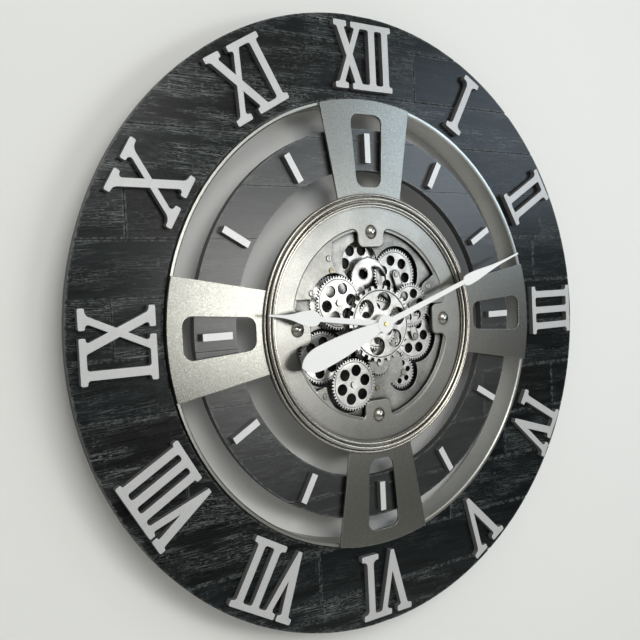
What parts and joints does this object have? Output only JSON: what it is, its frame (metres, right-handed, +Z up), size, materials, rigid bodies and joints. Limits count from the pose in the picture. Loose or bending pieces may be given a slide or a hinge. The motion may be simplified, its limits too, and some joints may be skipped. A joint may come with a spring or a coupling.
{
  "type": "gear wall clock",
  "caption": "Round wall clock: ring of dark plank wood with raised Roman numerals, metal spokes, and an open train of meshing gears behind slim hands.",
  "frame": {"origin": "centre of the hanger plate's keyhole, on the wall plane", "axes": "+X to the viewer's right, +Y into the wall, +Z up"},
  "size_m": [0.5999, 0.0554, 0.6],
  "materials": {
    "board_wood": "stained plank wood",
    "frame_metal": "satin antique nickel",
    "bezel_metal": "polished antique silver",
    "numeral_metal": "satin silver grey",
    "gear_metal": "bright satin",
    "backing_black": "matte black",
    "hand_white": "matte white",
    "pin_brass": "polished",
    "steel": "plain",
    "case_black": "moulded",
    "box_black": "moulded",
    "switch_white": "moulded",
    "cell_wrap": "plain sleeve",
    "bumper_rubber": "soft"
  },
  "bodies": {
    "frame": {"outer_board": "board_wood", "inner_ring": "board_wood", "hoop": "frame_metal", "spoke_12": "frame_metal", "spoke_3": "frame_metal", "spoke_6": "frame_metal", "spoke_9": "frame_metal", "ring_plate": "frame_metal", "main_plate": "frame_metal", "bezel": "bezel_metal", "rivets": "bezel_metal", "numeral_1": "numeral_metal", "numeral_2": "numeral_metal", "numeral_3": "numeral_metal", "numeral_4": "numeral_metal", "numeral_5": "numeral_metal", "numeral_6": "numeral_metal", "numeral_7": "numeral_metal", "numeral_8": "numeral_metal", "numeral_9": "numeral_metal", "numeral_10": "numeral_metal", "numeral_11": "numeral_metal", "numeral_12": "numeral_metal", "hour_bars": "numeral_metal", "right_bridge": "gear_metal", "drop_bridge": "gear_metal", "post_caps": "gear_metal", "backing_plate": "backing_black", "jewels": "pin_brass", "center_bush": "pin_brass", "gear_posts": "steel", "plate_pillars": "steel", "plate_screws": "steel", "board_screws": "steel", "ring_spacers": "steel", "hanger_plate": "steel", "case_shell": "case_black", "quartz_movement": "box_black", "gear_motor": "box_black", "batteries": "cell_wrap", "wall_bumpers": "bumper_rubber"},
    "center_train": {"gear_center_drive": "gear_metal", "gear_center_fine": "gear_metal", "gear_center_coarse": "gear_metal"},
    "hour": {"hour_hand": "hand_white"},
    "minute": {"minute_hand": "hand_white", "minute_shaft": "pin_brass"},
    "knob": {"setting_knob": "box_black"},
    "switch": {"motor_switch": "switch_white"},
    "gear_upper_left": {"gear_upper_left": "gear_metal"},
    "gear_right": {"gear_right": "gear_metal"},
    "idler_lower": {"idler_lower": "gear_metal"},
    "gear_lower_left": {"gear_lower_left": "gear_metal"},
    "gear_upper_right": {"gear_upper_right": "gear_metal"},
    "gear_lower_right": {"gear_lower_right": "gear_metal"},
    "gear_small": {"gear_small": "gear_metal"},
    "idler_left": {"idler_left": "gear_metal"},
    "gear_left": {"gear_left": "gear_metal"},
    "gear_top": {"gear_top": "gear_metal"}
  },
  "joints": [
    {"name": "center_spin", "type": "hinge", "parent": "frame", "child": "center_train", "pos_m": [0, 0, -0.086], "axis": [0, 1, 0], "continuous": true},
    {"name": "gear_upper_left_spin", "type": "hinge", "parent": "frame", "child": "gear_upper_left", "pos_m": [-0.04459, 0, -0.06338], "axis": [0, 1, 0], "continuous": true},
    {"name": "gear_right_spin", "type": "hinge", "parent": "frame", "child": "gear_right", "pos_m": [0.04375, 0, -0.07025], "axis": [0, 1, 0], "continuous": true},
    {"name": "idler_lower_spin", "type": "hinge", "parent": "frame", "child": "idler_lower", "pos_m": [0.00073, 0, -0.12399], "axis": [0, 1, 0], "continuous": true},
    {"name": "gear_lower_left_spin", "type": "hinge", "parent": "frame", "child": "gear_lower_left", "pos_m": [-0.03175, 0, -0.14274], "axis": [0, 1, 0], "continuous": true},
    {"name": "gear_upper_right_spin", "type": "hinge", "parent": "frame", "child": "gear_upper_right", "pos_m": [0.03285, 0, -0.0382], "axis": [0, 1, 0], "continuous": true},
    {"name": "gear_lower_right_spin", "type": "hinge", "parent": "frame", "child": "gear_lower_right", "pos_m": [0.05465, 0, -0.10219], "axis": [0, 1, 0], "continuous": true},
    {"name": "gear_small_spin", "type": "hinge", "parent": "frame", "child": "gear_small", "pos_m": [0.03643, 0, -0.1378], "axis": [0, 1, 0], "continuous": true},
    {"name": "idler_left_spin", "type": "hinge", "parent": "frame", "child": "idler_left", "pos_m": [-0.02974, 0, -0.11122], "axis": [0, 1, 0], "continuous": true},
    {"name": "gear_left_spin", "type": "hinge", "parent": "frame", "child": "gear_left", "pos_m": [-0.06005, 0, -0.11462], "axis": [0, 1, 0], "continuous": true},
    {"name": "gear_top_spin", "type": "hinge", "parent": "frame", "child": "gear_top", "pos_m": [-0.01199, 0, -0.02547], "axis": [0, 1, 0], "continuous": true},
    {"name": "minute_spin", "type": "hinge", "parent": "frame", "child": "minute", "pos_m": [0, 0, -0.086], "axis": [0, 1, 0], "continuous": true},
    {"name": "hour_spin", "type": "hinge", "parent": "frame", "child": "hour", "pos_m": [0, 0, -0.086], "axis": [0, 1, 0], "continuous": true},
    {"name": "knob_spin", "type": "hinge", "parent": "frame", "child": "knob", "pos_m": [0, 0, -0.072], "axis": [0, 1, 0], "continuous": true},
    {"name": "switch_slide", "type": "slide", "parent": "frame", "child": "switch", "axis": [1, 0, 0], "range_m": [0, 0.004]}
  ],
  "couplings": [
    {"joint": "gear_upper_left_spin", "follows": "center_spin", "ratio": -1},
    {"joint": "gear_right_spin", "follows": "center_spin", "ratio": -1.1628},
    {"joint": "idler_lower_spin", "follows": "center_spin", "ratio": -1.9231},
    {"joint": "gear_lower_left_spin", "follows": "center_spin", "ratio": 1.0204},
    {"joint": "gear_upper_right_spin", "follows": "center_spin", "ratio": -1.32},
    {"joint": "gear_lower_right_spin", "follows": "center_spin", "ratio": -1.375},
    {"joint": "gear_small_spin", "follows": "center_spin", "ratio": 2.0625},
    {"joint": "idler_left_spin", "follows": "center_spin", "ratio": -5.5},
    {"joint": "gear_left_spin", "follows": "center_spin", "ratio": 1.3469},
    {"joint": "gear_top_spin", "follows": "center_spin", "ratio": 1},
    {"joint": "hour_spin", "follows": "minute_spin", "ratio": 0.083333},
    {"joint": "knob_spin", "follows": "minute_spin", "ratio": -1}
  ]
}
